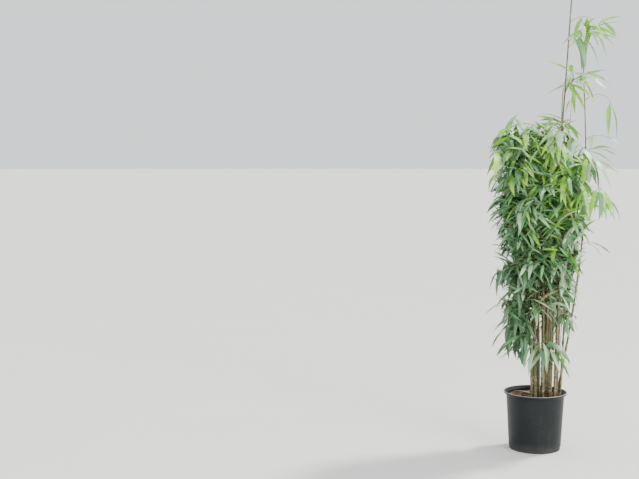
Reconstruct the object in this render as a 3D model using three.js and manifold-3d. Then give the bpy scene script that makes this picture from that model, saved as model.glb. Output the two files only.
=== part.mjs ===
// A clump of arrow bamboo in a round nursery pot: the pot, its soil, the canes and the sprays of leaves.
// Millimetres, +Z up, origin at the middle of the pot's flat underside, -Y towards the viewer.
import * as THREE from "three";
import { mergeVertices } from "three/addons/utils/BufferGeometryUtils.js";
import Module from "manifold-3d";

const wasm = await Module();
wasm.setup();

const gap = 0.3; // between solids that stand on or grow from each other

const pot = {
  height: 300,
  rimRadius: 162.5,
  shoulderRadius: 148, // the wall's outside, just under the lip
  baseRadius: 132.5,
  footHeight: 20, // the narrower band that the pot stands on
  footInset: 2.5,
  wall: 3,
  floor: 4,
  lipHeight: 17,
  segments: 32,
};
const soilLevel = 275;

// The clump stands to the right of the pot's middle. Feet lie on a sunflower spiral inside an ellipse.
const clump = { x: 49, y: -5, halfWidth: 78, halfDepth: 92, canes: 25, seed: 7, tries: 60 };
const firstSpraySeed = 100;

// lean: degrees from upright at the soil; nod: degrees from upright at the tip.
// bendFrom and bendTo: the stretch of the cane, as shares of its length, over which the lean turns into the nod.
const ordinaryCane = {
  length: [1020, 1390],
  lean: [-0.4, 2.4],
  nod: [7, 24],
  bendFrom: 0.45,
  bendTo: 1.1,
  footRadius: [4.6, 6.4],
  tipShare: 0.4, // the tip's radius beside the foot's
  segments: 4,
};
const tallCane = {
  foot: [36, -58],
  toward: 4,
  length: 2130,
  lean: 3.3,
  nod: 3.2,
  bendFrom: 0.5,
  bendTo: 1,
  footRadius: 7.2,
  tipShare: 0.35,
  segments: 10,
};
const outlyingCane = {
  foot: [112, 24],
  toward: 5,
  length: 1790,
  lean: 9.5,
  nod: -3,
  bendFrom: 0.1,
  bendTo: 0.9,
  footRadius: 5.6,
  tipShare: 0.4,
  segments: 10,
};
const archingCane = {
  foot: [-20, -66],
  toward: -6,
  length: 1215,
  lean: 1.5,
  nod: 38,
  bendFrom: 0.72,
  bendTo: 1.04,
  footRadius: 6,
  tipShare: 0.55,
  segments: 10,
};
// The arching cane's hanging end is a limb of its own, from where the bend begins.
const archingEnd = { length: 290, nod: 145, bendTo: 0.55, tipShare: 0.3, segments: 7 };

const sidesOfCane = 6;
const sidesOfTwig = 3;

// The crown's outline: how far its leaves reach from its axis at each height.
const crownAxis = { x: 12, y: -4 };
const crownOutline = [
  { height: 480, reach: 170 },
  { height: 700, reach: 185 },
  { height: 850, reach: 200 },
  { height: 1000, reach: 222 },
  { height: 1150, reach: 246 },
  { height: 1320, reach: 266 },
  { height: 1450, reach: 262 },
  { height: 1560, reach: 240 },
  { height: 1680, reach: 190 },
  { height: 1800, reach: 110 },
];
// Its sprays stand in levels: the height of a level, how many stand round it, and the turn of the first one.
// Every other spray of a level stands lower, so that no gap runs right round the crown between two levels.
const crownLevels = [
  { height: 730, sprays: 4, turn: -70 },
  { height: 930, sprays: 5, turn: -25 },
  { height: 1120, sprays: 5, turn: 10 },
  { height: 1300, sprays: 5, turn: 46 },
  { height: 1475, sprays: 5, turn: 20 },
  { height: 1640, sprays: 3, turn: 60 },
];
const levelStagger = 45; // how far sprays stand above or below the height of their level
const rootOut = 0.5; // a spray starts from the cane nearest to this share of the outline's reach

// A spray: its stem leaves the cane at one angle from upright and ends at another. Twigs leave the stem
// on alternate sides, and leaves fan out from each end.
const spray = {
  stemLength: [110, 210], // short where the outline is near
  stemFrom: 18,
  stemTo: 58,
  stemRadius: 3.4,
  middle: 0.65, // the middle of the spray's own space lies below this share of the stem,
  hang: 35, // by this much, because the leaves hang
  twigs: 3,
  twigLength: [60, 115],
  twigSpread: [40, 100],
  twigFrom: [30, 70],
  twigTo: [50, 105],
  twigRadius: 2.6,
  tipShare: 0.62,
  leavesOnStem: 7,
  leavesOnTwig: 5,
  leafLength: [150, 235],
  leafPitch: [-56, 34], // degrees that the line from root to tip rises
  tries: 90,
};
// Sprays of another habit: one goes on from a rising cane's tip, one from the arching cane's end.
const risingTip = {
  twigs: 2,
  stemLength: [130, 130],
  stemFrom: 5,
  stemTo: 30,
  leavesOnStem: 5,
  leavesOnTwig: 3,
  leafLength: [150, 215],
  leafPitch: [-62, 30],
};
const hangingTip = {
  stemLength: [70, 70],
  stemFrom: 148,
  stemTo: 152,
  twigs: 1,
  twigLength: [50, 70],
  twigFrom: [80, 100],
  twigTo: [110, 130],
  leafLength: [140, 190],
  leafPitch: [-84, -56],
};

const leaf = {
  widthShare: 0.24, // broader than life, because the leaves are fewer than on the real plant
  thicknessShare: 0.012,
  widest: 0.4, // share of the length
  fold: 0.016, // how far the edges hang below the midrib, as a share of the length
  arch: [0.07, 0.15], // how far the middle stands above the line from root to tip
  fan: [30, 120], // degrees either side of the twig
  spacing: 17, // between the roots of leaves on one twig
  apart: 8, // least distance between two blades of a spray
  rootStretch: 34, // of a blade's own twig, from the root, that the blade may lie close to
};

const clearOfLimbs = 2.6; // from a twig or a blade to any cane
const clearOfSpace = 3; // from a twig or a blade to the edge of the spray's own space
const lowestLeaf = pot.height + 12; // leaves hang no lower, clear of the lip
const sampleStep = 8; // between the points that stand for a cane in the tests
const leastApart = 0.003; // the least distance that a joint may leave between two corners

const degrees = Math.PI / 180;
const goldenTurn = 137.508;

// A repeatable stream of numbers from 0 to 1.
function seeded(seed) {
  let state = seed >>> 0;
  return () => {
    state = (state + 0x6d2b79f5) >>> 0;
    let mixed = Math.imul(state ^ (state >>> 15), 1 | state);
    mixed = (mixed + Math.imul(mixed ^ (mixed >>> 7), 61 | mixed)) ^ mixed;
    return ((mixed ^ (mixed >>> 14)) >>> 0) / 4294967296;
  };
}

const between = ([low, high], share) => low + (high - low) * share;

const smooth = (share) => {
  const held = Math.min(1, Math.max(0, share));
  return held * held * (3 - 2 * held);
};

// A closed three.js geometry as a solid that can be joined and cut.
function toSolid(geometry) {
  const bare = geometry.clone();
  bare.deleteAttribute("normal");
  bare.deleteAttribute("uv");
  const merged = mergeVertices(bare);
  return new wasm.Manifold(
    new wasm.Mesh({
      numProp: 3,
      vertProperties: merged.attributes.position.array,
      triVerts: new Uint32Array(merged.index.array),
    }),
  );
}

function toGeometry(solid) {
  const mesh = solid.getMesh();
  const geometry = new THREE.BufferGeometry();
  geometry.setAttribute("position", new THREE.BufferAttribute(mesh.vertProperties, 3));
  geometry.setIndex(new THREE.BufferAttribute(mesh.triVerts, 1));
  geometry.computeVertexNormals();
  return geometry;
}

// Points along a limb that keeps to one upright plane while its angle from upright changes.
function limbPath({ start, toward, length, lean, nod, bendFrom, bendTo, segments }) {
  const azimuth = toward * degrees;
  const step = length / segments;
  const points = [start.clone()];
  for (let i = 0; i < segments; i++) {
    const share = (i + 0.5) / segments;
    const turned = smooth((share - bendFrom) / (bendTo - bendFrom));
    const angle = (lean + (nod - lean) * turned) * degrees;
    const sideways = step * Math.sin(angle);
    points.push(
      points[i]
        .clone()
        .add(
          new THREE.Vector3(
            sideways * Math.cos(azimuth),
            sideways * Math.sin(azimuth),
            step * Math.cos(angle),
          ),
        ),
    );
  }
  return points;
}

// A tapering rod: a cylinder whose rings are carried onto the points of a limb. The first ring stays level
// when the rod is cut flat at the soil. With extra, the rod is thicker and longer by that much on all sides.
function rodGeometry(limb, sides, extra = 0) {
  const { points, toward, radius, tipShare, flatFoot } = limb;
  const last = points.length - 1;
  const geometry = new THREE.CylinderGeometry(1, 1, last, sides, last);
  const place = geometry.getAttribute("position");
  const level = new THREE.Vector3(
    -Math.sin(toward * degrees),
    Math.cos(toward * degrees),
    0,
  );
  const rings = points.map((point, i) => {
    const along = points[Math.min(i + 1, last)]
      .clone()
      .sub(points[Math.max(i - 1, 0)])
      .normalize();
    if (i === 0 && flatFoot) along.set(0, 0, 1);
    const across = level.clone().cross(along);
    const beyond = i === 0 ? -extra : i === last ? extra : 0;
    const moved = point.clone().addScaledVector(along, beyond);
    return { point: moved, across, radius: radius * (1 - (1 - tipShare) * (i / last)) + extra };
  });
  for (let i = 0; i < place.count; i++) {
    const ring = rings[Math.round(place.getY(i) + last / 2)];
    const moved = ring.point
      .clone()
      .addScaledVector(level, place.getX(i) * ring.radius)
      .addScaledVector(ring.across, place.getZ(i) * ring.radius);
    place.setXYZ(i, moved.x, moved.y, moved.z);
  }
  return geometry;
}

// Points every few millimetres along a limb, each with the limb's radius there.
function samplesOf(limb) {
  const { points, radius, tipShare } = limb;
  const last = points.length - 1;
  return points.slice(0, last).flatMap((point, i) => {
    const next = points[i + 1];
    const count = Math.ceil(point.distanceTo(next) / sampleStep);
    return Array.from({ length: count + 1 }, (_, k) => ({
      place: point.clone().lerp(next, k / count),
      radius: radius * (1 - (1 - tipShare) * ((i + k / count) / last)),
    }));
  });
}

function limbsTouch(one, other, margin) {
  return one.some((a) =>
    other.some((b) => a.place.distanceTo(b.place) < a.radius + b.radius + margin),
  );
}

// The point at a share of a limb's length.
function pointAlong(limb, share) {
  const along = share * (limb.points.length - 1);
  const i = Math.min(Math.floor(along), limb.points.length - 2);
  return limb.points[i].clone().lerp(limb.points[i + 1], along - i);
}

function lengthOf(limb) {
  return limb.points[0].distanceTo(limb.points[1]) * (limb.points.length - 1);
}

// The point of a limb at a height, on its way up.
function pointAtHeight(limb, height) {
  const i = limb.points.findIndex((point) => point.z > height);
  if (i < 1) return null;
  const below = limb.points[i - 1];
  const above = limb.points[i];
  return below.clone().lerp(above, (height - below.z) / (above.z - below.z));
}

function makeCane(name, foot, values) {
  const start = new THREE.Vector3(foot[0], foot[1], soilLevel + gap);
  const cane = { name, flatFoot: true, radius: values.footRadius, tipShare: values.tipShare };
  cane.toward = values.toward;
  cane.points = limbPath({ ...values, start });
  cane.samples = samplesOf(cane);
  return cane;
}

// The canes: three with a place of their own, then the rest on the spiral, each leaning away from the
// clump's middle and turned a little until it is clear of those before it.
function makeCanes() {
  const random = seeded(clump.seed);
  const canes = [
    makeCane("cane_tall", tallCane.foot, tallCane),
    makeCane("cane_outlying", outlyingCane.foot, outlyingCane),
    makeCane("cane_arching", archingCane.foot, archingCane),
  ];
  const ownPlaces = canes.length;
  const rest = clump.canes - ownPlaces;
  for (let i = 0; i < rest; i++) {
    const out = Math.sqrt((i + 0.5) / rest);
    const angle = i * goldenTurn * degrees;
    const values = {
      ...ordinaryCane,
      length: between(ordinaryCane.length, random()) * (1.06 - 0.14 * out),
      lean: between(ordinaryCane.lean, out * 0.75 + random() * 0.25),
      nod: between(ordinaryCane.nod, random()),
      footRadius: between(ordinaryCane.footRadius, random()),
    };
    const name = "cane_" + String(canes.length - ownPlaces + 1).padStart(2, "0");
    for (let attempt = 0; attempt < clump.tries; attempt++) {
      const shift = attempt ? 9 : 4;
      const foot = [
        clump.x + clump.halfWidth * out * Math.cos(angle) + (random() - 0.5) * shift,
        clump.y + clump.halfDepth * out * Math.sin(angle) + (random() - 0.5) * shift,
      ];
      const toward = angle / degrees + (random() - 0.5) * (30 + attempt * 2);
      const cane = makeCane(name, foot, { ...values, toward });
      if (canes.every((other) => !limbsTouch(cane.samples, other.samples, 2 * gap + 2))) {
        canes.push(cane);
        break;
      }
    }
  }
  return canes;
}

// The hanging end of the arching cane goes on from its cut, a gap further.
function makeArchingEnd(cane) {
  const last = cane.points.length - 1;
  const along = cane.points[last].clone().sub(cane.points[last - 1]).normalize();
  const lean = Math.acos(along.z) / degrees;
  const end = {
    name: "cane_arching_end",
    toward: cane.toward,
    radius: cane.radius * cane.tipShare,
    tipShare: archingEnd.tipShare,
  };
  end.points = limbPath({
    ...archingEnd,
    start: cane.points[last].clone().addScaledVector(along, 2 * gap),
    toward: cane.toward,
    lean: lean + 4,
    bendFrom: 0,
  });
  end.samples = samplesOf(end);
  return end;
}

function crownReach(height) {
  const above = crownOutline.findIndex((row) => row.height > height);
  if (above < 1) return crownOutline.at(above === 0 ? 0 : -1).reach;
  const [low, high] = [crownOutline[above - 1], crownOutline[above]];
  const share = (height - low.height) / (high.height - low.height);
  return between([low.reach, high.reach], share);
}

function insideOutline(points) {
  const top = crownOutline.at(-1).height;
  return points.every(
    ({ x, y, z }) => z < top && Math.hypot(x - crownAxis.x, y - crownAxis.y) < crownReach(z),
  );
}

// Where each spray grows. A spray starts from the side of a cane, or goes on from a limb's tip.
function planSprays(canes, end) {
  const [tall, outlying] = canes;
  const plans = [];
  for (const level of crownLevels) {
    for (let i = 0; i < level.sprays; i++) {
      plans.push({
        ...spray,
        name: "foliage_" + String(plans.length + 1).padStart(2, "0"),
        inCrown: true,
        height: level.height + (i % 2 ? -levelStagger : levelStagger),
        azimuth: level.turn + (360 * i) / level.sprays,
      });
    }
  }
  const ofItsOwn = (name, values) => plans.push({ ...spray, ...values, name: "foliage_" + name });
  const sparse = { leavesOnStem: 6, leavesOnTwig: 3, leafLength: [150, 215] };
  const lowFront = { height: 500, azimuth: -62, stemLength: [110, 110], stemTo: 85 };
  ofItsOwn("low_front", { ...sparse, ...lowFront, leafPitch: [-82, -34] });
  ofItsOwn("tall_side", { ...sparse, limb: tall, height: 1900, azimuth: -12 });
  ofItsOwn("tall_tip", { ...risingTip, limb: tall, atTip: true, azimuth: 200 });
  ofItsOwn("outlying_tip", { ...risingTip, limb: outlying, atTip: true, azimuth: -20 });
  ofItsOwn("arching_side", { ...hangingTip, limb: end, along: 0.5, azimuth: 20, stemFrom: 70 });
  ofItsOwn("arching_tip", { ...hangingTip, limb: end, atTip: true, azimuth: -6 });
  return plans;
}

// The cane that passes nearest to a place, and its point there.
function nearestCane(canes, wanted) {
  return canes
    .map((cane) => ({ limb: cane, start: pointAtHeight(cane, wanted.z) }))
    .filter(({ start }) => start)
    .sort((a, b) => a.start.distanceTo(wanted) - b.start.distanceTo(wanted))[0];
}

// The limb that carries a spray, and the point on the limb's axis where its stem starts.
function holdOf(plan, canes, loose, random) {
  const { limb } = plan;
  const slack = () => (random() - 0.5) * loose;
  if (plan.atTip) return { limb, start: limb.points.at(-1).clone() };
  if (plan.along) return { limb, start: pointAlong(limb, plan.along) };
  const mean = ((plan.stemFrom + plan.stemTo) / 2) * degrees;
  const below = plan.middle * plan.stemLength[1] * Math.cos(mean);
  const height = plan.height + plan.hang - below + slack();
  if (limb) return { limb, start: pointAtHeight(limb, height) };
  const reach = rootOut * crownReach(height);
  const outward = plan.azimuth * degrees;
  const wanted = new THREE.Vector3(
    crownAxis.x + reach * Math.cos(outward) + slack(),
    crownAxis.y + reach * Math.sin(outward) + slack(),
    height,
  );
  return nearestCane(canes, wanted);
}

// The stem of a spray, turned a little until it is clear of every other limb.
function placeStem(plan, canes, limbs, random) {
  for (let attempt = 0; attempt < plan.tries; attempt++) {
    const loose = attempt * 1.5;
    const { limb, start } = holdOf(plan, canes, loose, random);
    const outlineGap = crownReach(start.z) - Math.hypot(start.x - crownAxis.x, start.y - crownAxis.y);
    const [shortest, longest] = plan.stemLength;
    const stem = {
      plan,
      limb,
      toward: plan.azimuth + (random() - 0.5) * loose,
      radius: plan.atTip ? limb.radius * limb.tipShare : plan.stemRadius,
      tipShare: plan.tipShare,
    };
    stem.points = limbPath({
      start,
      toward: stem.toward,
      length: Math.min(longest, Math.max(shortest, outlineGap)),
      lean: plan.stemFrom,
      nod: plan.stemTo,
      bendFrom: 0,
      bendTo: 1,
      segments: 3,
    });
    stem.samples = samplesOf(stem);
    const others = limbs.filter((other) => other !== limb);
    if (others.every((other) => !limbsTouch(stem.samples, other.samples, clearOfLimbs))) {
      return stem;
    }
  }
  return null;
}

// A spray's own space holds the points that are nearer to its middle than to any other spray's.
function insideSpace(points, stem, others) {
  if (points.some((point) => point.z < lowestLeaf)) return false;
  return others.every((other) => {
    const toOther = other.middle.clone().sub(stem.middle);
    const edge = toOther.length() / 2 - clearOfSpace;
    toOther.normalize();
    return points.every((point) => point.clone().sub(stem.middle).dot(toOther) < edge);
  });
}

// One blade: an octahedron drawn out to a pointed leaf whose middle stands high and whose edges hang.
function makeLeaf(root, azimuth, pitch, length, arch, roll) {
  const forward = new THREE.Vector3(
    Math.cos(pitch) * Math.cos(azimuth),
    Math.cos(pitch) * Math.sin(azimuth),
    Math.sin(pitch),
  );
  const side = new THREE.Vector3(-Math.sin(azimuth), Math.cos(azimuth), 0)
    .applyAxisAngle(forward, roll)
    .negate();
  const up = side.clone().cross(forward);
  const halfWidth = (length * leaf.widthShare) / 2;
  const halfThickness = (length * leaf.thicknessShare) / 2;
  const geometry = new THREE.OctahedronGeometry(1);
  const place = geometry.getAttribute("position");
  const corners = [];
  for (let i = 0; i < place.count; i++) {
    const [x, y, z] = [place.getX(i), place.getY(i), place.getZ(i)];
    const atEnd = Math.abs(y) > 0.5;
    const share = atEnd ? (y + 1) / 2 : leaf.widest;
    const rise = atEnd ? 0 : arch * length - Math.abs(x) * leaf.fold * length;
    const corner = root
      .clone()
      .addScaledVector(forward, share * length)
      .addScaledVector(side, x * halfWidth)
      .addScaledVector(up, rise + z * halfThickness);
    place.setXYZ(i, corner.x, corner.y, corner.z);
    corners.push(corner);
  }
  const spots = bladeSpots(root, forward, side, up, length, arch);
  return { geometry, corners, root, spots };
}

// A few places on a blade beyond its narrow root, for telling two blades apart.
function bladeSpots(root, forward, side, up, length, arch) {
  const halfWidth = (length * leaf.widthShare) / 2;
  return [0.35, 0.55, 0.75, 0.97].flatMap((share) => {
    const fullness = share < leaf.widest ? share / leaf.widest : (1 - share) / (1 - leaf.widest);
    return [-0.8, 0, 0.8].map((across) =>
      root
        .clone()
        .addScaledVector(forward, share * length)
        .addScaledVector(side, across * halfWidth * fullness)
        .addScaledVector(up, arch * length * fullness),
    );
  });
}

function bladeTouches(blade, samples) {
  const ball = new THREE.Sphere().setFromPoints(blade.corners);
  const near = samples.filter(
    ({ place, radius }) => ball.distanceToPoint(place) < radius + clearOfLimbs,
  );
  const closest = new THREE.Vector3();
  const face = new THREE.Triangle();
  for (let i = 0; i < blade.corners.length; i += 3) {
    face.set(blade.corners[i], blade.corners[i + 1], blade.corners[i + 2]);
    for (const { place, radius } of near) {
      face.closestPointToPoint(place, closest);
      if (closest.distanceTo(place) < radius + clearOfLimbs) return true;
    }
  }
  return false;
}

function bladesMeet(one, other) {
  return one.spots.some((a) => other.spots.some((b) => a.distanceTo(b) < leaf.apart));
}

// Twigs on alternate sides of a stem, each skipped if it would leave the space or touch a limb.
function makeTwigs(stem, random, fits) {
  const { plan } = stem;
  const twigs = [];
  for (let i = 0; i < plan.twigs; i++) {
    const side = i % 2 ? 1 : -1;
    const start = pointAlong(stem, 0.3 + 0.22 * i);
    for (let attempt = 0; attempt < plan.tries; attempt++) {
      const shorter = 1 - 0.4 * (attempt / plan.tries);
      const toward = stem.toward + side * between(plan.twigSpread, random());
      const twig = { plan, toward, radius: plan.twigRadius, tipShare: plan.tipShare };
      twig.points = limbPath({
        start,
        toward,
        length: between(plan.twigLength, random()) * shorter,
        lean: between(plan.twigFrom, random()),
        nod: between(plan.twigTo, random()),
        bendFrom: 0,
        bendTo: 1,
        segments: 2,
      });
      twig.samples = samplesOf(twig);
      if (fits(twig)) {
        twigs.push(twig);
        break;
      }
    }
  }
  return twigs;
}

// Leaves from the tip of a rod backwards: one that ends it, then others that fan out to both sides.
// After each try that doesn't fit, the next is shorter and hangs more steeply.
function makeLeaves(rod, most, random, fits) {
  const { plan } = rod;
  const leaves = [];
  const length = lengthOf(rod);
  const count = Math.min(most, Math.floor((0.8 * length) / leaf.spacing));
  for (let i = 0; i < count; i++) {
    const side = i % 2 ? 1 : -1;
    const root = pointAlong(rod, 1 - (leaf.spacing * (i + 0.6)) / length);
    for (let attempt = 0; attempt < plan.tries; attempt++) {
      const spread = i === 0 ? (random() - 0.5) * 20 : side * between(leaf.fan, random());
      const azimuth = (rod.toward + spread) * degrees;
      const steeper = 1 - 0.3 * (attempt / plan.tries);
      const pitch = between(plan.leafPitch, random() * steeper) * degrees;
      const shorter = 1 - 0.3 * (attempt / plan.tries);
      const bladeLength = between(plan.leafLength, random()) * shorter;
      const arch = between(leaf.arch, random());
      const roll = (random() - 0.5) * 50 * degrees;
      const blade = makeLeaf(root, azimuth, pitch, bladeLength, arch, roll);
      if (fits(blade)) {
        leaves.push(blade);
        break;
      }
    }
  }
  return leaves;
}

// Points of a spray's own rods that a blade has to keep off: all but those beside its root.
function rodsBeyond(root, rods) {
  return rods
    .flatMap((rod) => rod.samples)
    .filter(({ place }) => place.distanceTo(root) > leaf.rootStretch);
}

function growSpray(stem, others, limbs, seed) {
  const random = seeded(seed);
  const samples = limbs.flatMap((limb) => limb.samples);
  const within = (points) =>
    insideSpace(points, stem, others) && (!stem.plan.inCrown || insideOutline(points));
  const twigs = makeTwigs(
    stem,
    random,
    (twig) => within(twig.points) && !limbsTouch(twig.samples, samples, clearOfLimbs),
  );
  const blades = [];
  for (const rod of [stem, ...twigs]) {
    const made = makeLeaves(
      rod,
      rod === stem ? stem.plan.leavesOnStem : stem.plan.leavesOnTwig,
      random,
      (blade) =>
        within(blade.corners) &&
        !blades.some((other) => bladesMeet(blade, other)) &&
        !bladeTouches(blade, samples) &&
        !bladeTouches(blade, rodsBeyond(blade.root, [stem, ...twigs])),
    );
    blades.push(...made);
  }
  return { twigs, blades };
}

// The distance between the two corners of a solid that are closest together.
function closestCorners(solid) {
  const places = solid.getMesh().vertProperties;
  let closest = Infinity;
  for (let i = 0; i < places.length; i += 3) {
    for (let j = i + 3; j < places.length; j += 3) {
      const x = places[i] - places[j];
      if (Math.abs(x) > closest) continue;
      closest = Math.min(closest, Math.hypot(x, places[i + 1] - places[j + 1], places[i + 2] - places[j + 2]));
    }
  }
  return closest;
}

// A spray as one solid: stem and twigs joined and cut clear of the cane that carries them, then the leaves
// added one by one. A leaf whose joint would be too fine to close is left out.
function spraySolid(stem, grown) {
  const rods = [stem, ...grown.twigs].map((limb) => toSolid(rodGeometry(limb, sidesOfTwig)));
  const limb = toSolid(rodGeometry(stem.limb, sidesOfCane, gap));
  const cleared = wasm.Manifold.union(rods).subtract(limb).decompose();
  let spraySoFar = cleared.sort((a, b) => b.volume() - a.volume())[0];
  const finest = Math.min(leastApart, closestCorners(spraySoFar));
  for (const { geometry } of grown.blades) {
    const wider = spraySoFar.add(toSolid(geometry));
    if (closestCorners(wider) >= finest && wider.decompose().length === 1) spraySoFar = wider;
  }
  return spraySoFar;
}

// The pot: one wall turned round the axis, with a foot band, a flared lip and an open top.
function potGeometry() {
  const slope = (pot.shoulderRadius - pot.baseRadius) / (pot.height - pot.lipHeight);
  const outside = (height) => pot.baseRadius + slope * height;
  const shoulder = pot.height - pot.lipHeight;
  const bead = 3.2; // radius of the rounded edge of the lip
  const footRadius = outside(0) - pot.footInset;
  const profile = new THREE.Path();
  profile.moveTo(0, 0);
  profile.lineTo(footRadius - 2, 0);
  profile.lineTo(footRadius, 2);
  profile.lineTo(footRadius, pot.footHeight - 2);
  profile.lineTo(outside(pot.footHeight), pot.footHeight);
  profile.lineTo(pot.shoulderRadius, shoulder);
  profile.lineTo(pot.rimRadius - 2.5, shoulder + 6);
  profile.lineTo(pot.rimRadius, pot.height - bead);
  profile.absarc(pot.rimRadius - bead, pot.height - bead, bead, 0, Math.PI, false);
  profile.lineTo(pot.shoulderRadius - pot.wall, shoulder + 1);
  profile.lineTo(outside(pot.floor) - pot.wall, pot.floor);
  profile.lineTo(0, pot.floor);
  const points = profile.getPoints(4);
  return new THREE.LatheGeometry(points, pot.segments).rotateX(Math.PI / 2);
}

function soilGeometry() {
  const slope = (pot.shoulderRadius - pot.baseRadius) / (pot.height - pot.lipHeight);
  const inside = (height) => pot.baseRadius + slope * height - pot.wall - 2 * gap;
  const bottom = pot.floor + gap;
  const points = [
    new THREE.Vector2(0, bottom),
    new THREE.Vector2(inside(bottom), bottom),
    new THREE.Vector2(inside(soilLevel), soilLevel),
    new THREE.Vector2(0, soilLevel),
  ];
  return new THREE.LatheGeometry(points, pot.segments).rotateX(Math.PI / 2);
}

const finishes = {
  pot: new THREE.MeshStandardMaterial({ color: 0x3c4144, roughness: 0.55, metalness: 0 }),
  soil: new THREE.MeshStandardMaterial({ color: 0x3a2c22, roughness: 0.95, metalness: 0 }),
  cane: new THREE.MeshStandardMaterial({ color: 0xa88c5e, roughness: 0.6, metalness: 0 }),
  foliage: new THREE.MeshStandardMaterial({ color: 0x5f8f45, roughness: 0.5, metalness: 0 }),
};

const plant = new THREE.Group();

function addNode(name, geometry, material) {
  const mesh = new THREE.Mesh(geometry, material);
  mesh.name = name;
  plant.add(mesh);
}

addNode("pot", potGeometry(), finishes.pot);
addNode("potting_soil", soilGeometry(), finishes.soil);

const canes = makeCanes();
const hangingEnd = makeArchingEnd(canes[2]);
const limbs = [...canes, hangingEnd];
for (const limb of limbs) {
  addNode(limb.name, rodGeometry(limb, sidesOfCane), finishes.cane);
}

const stems = [];
const stemRandom = seeded(clump.seed + 1);
for (const plan of planSprays(canes, hangingEnd)) {
  const stem = placeStem(plan, canes, [...limbs, ...stems], stemRandom);
  if (!stem) continue;
  stem.middle = pointAlong(stem, plan.middle);
  stem.middle.z -= plan.hang;
  stems.push(stem);
}
stems.forEach((stem, i) => {
  const others = stems.filter((other) => other !== stem);
  const grown = growSpray(stem, others, [...limbs, ...others], firstSpraySeed + i);
  addNode(stem.plan.name, toGeometry(spraySolid(stem, grown)), finishes.foliage);
});

export default plant;
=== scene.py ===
# A clump of arrow bamboo in a round nursery pot: the pot, its soil and litter, jointed canes in their
# sheaths, and sprays of leaves that grow from the canes by one seeded rule.
from math import acos, asin, ceil, cos, hypot, pi, sin, sqrt

import bmesh
import bpy
import numpy as np
from mathutils import Matrix, Vector, noise


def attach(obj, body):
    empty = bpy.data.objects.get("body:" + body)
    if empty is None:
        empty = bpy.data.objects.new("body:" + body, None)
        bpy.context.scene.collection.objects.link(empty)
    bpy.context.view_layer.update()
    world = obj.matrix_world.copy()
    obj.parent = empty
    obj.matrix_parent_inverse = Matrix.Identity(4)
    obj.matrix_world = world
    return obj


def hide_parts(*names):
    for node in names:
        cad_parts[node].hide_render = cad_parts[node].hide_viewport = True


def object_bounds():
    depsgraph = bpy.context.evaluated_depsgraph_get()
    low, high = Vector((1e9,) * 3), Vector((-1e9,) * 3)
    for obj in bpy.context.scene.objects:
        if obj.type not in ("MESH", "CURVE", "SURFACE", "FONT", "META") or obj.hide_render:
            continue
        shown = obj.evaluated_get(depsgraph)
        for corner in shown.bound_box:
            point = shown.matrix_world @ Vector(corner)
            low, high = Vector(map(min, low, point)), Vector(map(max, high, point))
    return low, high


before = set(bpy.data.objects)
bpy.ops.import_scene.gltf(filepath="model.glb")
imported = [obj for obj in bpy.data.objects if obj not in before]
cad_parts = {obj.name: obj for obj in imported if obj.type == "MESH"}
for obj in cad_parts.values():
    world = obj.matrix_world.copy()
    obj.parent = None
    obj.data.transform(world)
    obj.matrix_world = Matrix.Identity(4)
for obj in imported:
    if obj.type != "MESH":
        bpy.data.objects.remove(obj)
cadBox = [[float(number) for number in corner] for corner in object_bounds()]
print("frame loaded,", len(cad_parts), "nodes")

mm = 0.001  # the growing rule counts in millimetres, the scene in metres
degrees = pi / 180
norm = np.linalg.norm


# a dictionary whose values are also read by name
class Values(dict):
    __getattr__ = dict.__getitem__


# shader sockets that can be added, multiplied and mixed as plain expressions
class Wire:
    def __init__(self, finish, socket):
        self.finish, self.socket = finish, socket

    def __add__(self, other):
        return self.finish.maths("ADD", self, other)

    def __sub__(self, other):
        return self.finish.maths("SUBTRACT", self, other)

    def __rsub__(self, other):
        return self.finish.maths("SUBTRACT", other, self)

    def __mul__(self, other):
        return self.finish.maths("MULTIPLY", self, other)

    def __abs__(self):
        return self.finish.maths("ABSOLUTE", self)

    def band(self, low, high):  # 0 below low, 1 above high
        sockets = {"Value": self, "From Min": low, "From Max": high}
        return self.finish.add("MapRange", sockets, interpolation_type="SMOOTHSTEP")

    __radd__ = __add__
    __rmul__ = __mul__


# one material: its nodes are added by add(), numbers are worked on by maths(), colours by mix()
class Finish:
    def __init__(self, name, **constants):
        self.material = bpy.data.materials.new(name)
        self.material.use_nodes = True
        self.tree = self.material.node_tree
        self.place = self.add("TexCoord", output="Object")
        self.to(**constants)

    def add(self, kind, sockets=(), output=0, **settings):
        node = self.tree.nodes.new("ShaderNode" + kind)
        for name, value in settings.items():
            setattr(node, name, value)
        for name, value in dict(sockets).items():
            self.feed(node.inputs[name], value)
        return Wire(self, node.outputs[output])

    def feed(self, target, value):
        if isinstance(value, Wire):
            self.tree.links.new(value.socket, target)
        else:
            target.default_value = (*value, 1) if target.type == "RGBA" else value

    def maths(self, operation, *values):
        return self.add("Math", dict(enumerate(values)), operation=operation)

    def mix(self, share, first, second):
        return self.add("Mix", {0: share, 6: first, 7: second}, 2, data_type="RGBA")

    def coated(self, body, *coats):  # each coat: how much of it shows, and its colour
        for share, colour in coats:
            body = self.mix(share, body, colour)
        return body

    def noise(self, scale, detail=3, roughness=0.5):
        place = self.place
        if isinstance(scale, tuple):  # a stretched pattern
            place, scale = self.add("Mapping", {"Vector": place, "Scale": scale}), 1
        return self.add("TexNoise", {"Vector": place, "Scale": scale, "Detail": detail, "Roughness": roughness})

    def axis(self, place, letter):
        return self.add("SeparateXYZ", {0: place}, letter)

    def attribute(self, name):
        return self.add("Attribute", output="Fac", attribute_name=name)

    def bump(self, height, strength, distance):
        return self.add("Bump", {"Height": height, "Strength": strength, "Distance": distance})

    def to(self, **links):
        for socket, value in links.items():
            self.feed(self.tree.nodes["Principled BSDF"].inputs[socket.replace("_", " ")], value)
        return self.material


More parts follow.
